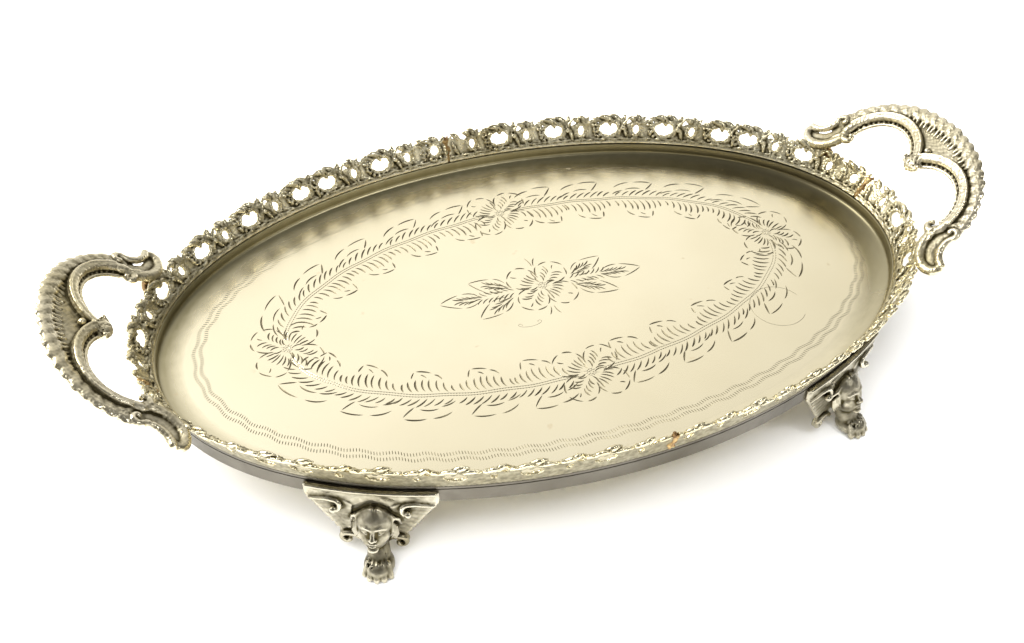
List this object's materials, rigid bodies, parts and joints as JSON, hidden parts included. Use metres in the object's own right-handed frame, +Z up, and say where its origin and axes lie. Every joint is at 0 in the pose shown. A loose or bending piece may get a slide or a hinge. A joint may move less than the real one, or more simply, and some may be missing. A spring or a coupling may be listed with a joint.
{
  "type": "oval two-handled gallery tray",
  "caption": "Oval silver serving tray with an engraved floor, a pierced cast vine gallery, scroll handles at both ends, and mask-and-paw feet.",
  "frame": {"origin": "below the centre of the tray floor, at the level of the table", "axes": "+Z up, X along the long axis through both handles, -Y towards the front"},
  "size_m": [0.4568, 0.2458, 0.0931],
  "materials": {
    "tray_sheet": "old hand-polished silver with a warm tarnish",
    "rim_band": "polished silver, duller than the floor",
    "gallery_casting": "cast silver, polished high spots and dark oxidised recesses",
    "handle_casting": "cast silver, worn bright on the ribs, olive tarnish in the flutes",
    "foot_casting": "cast silver, satin with dark recesses",
    "solder": "heat-stained solder, brown-gold"
  },
  "bodies": {
    "root": {"tray_pan": "tray_sheet", "rim_band": "rim_band", "gallery_strip_1": "gallery_casting", "gallery_strip_2": "gallery_casting", "gallery_strip_3": "gallery_casting", "gallery_strip_4": "gallery_casting", "gallery_solder_1": "solder", "gallery_solder_2": "solder", "gallery_solder_3": "solder", "gallery_solder_4": "solder", "handle_right": "handle_casting", "handle_left": "handle_casting", "handle_solder_front_left": "solder", "handle_solder_front_right": "solder", "handle_solder_back_left": "solder", "handle_solder_back_right": "solder", "foot_front_left": "foot_casting", "foot_front_right": "foot_casting", "foot_back_left": "foot_casting", "foot_back_right": "foot_casting", "foot_solder_front_left": "solder", "foot_solder_front_right": "solder", "foot_solder_back_left": "solder", "foot_solder_back_right": "solder"}
  },
  "joints": []
}
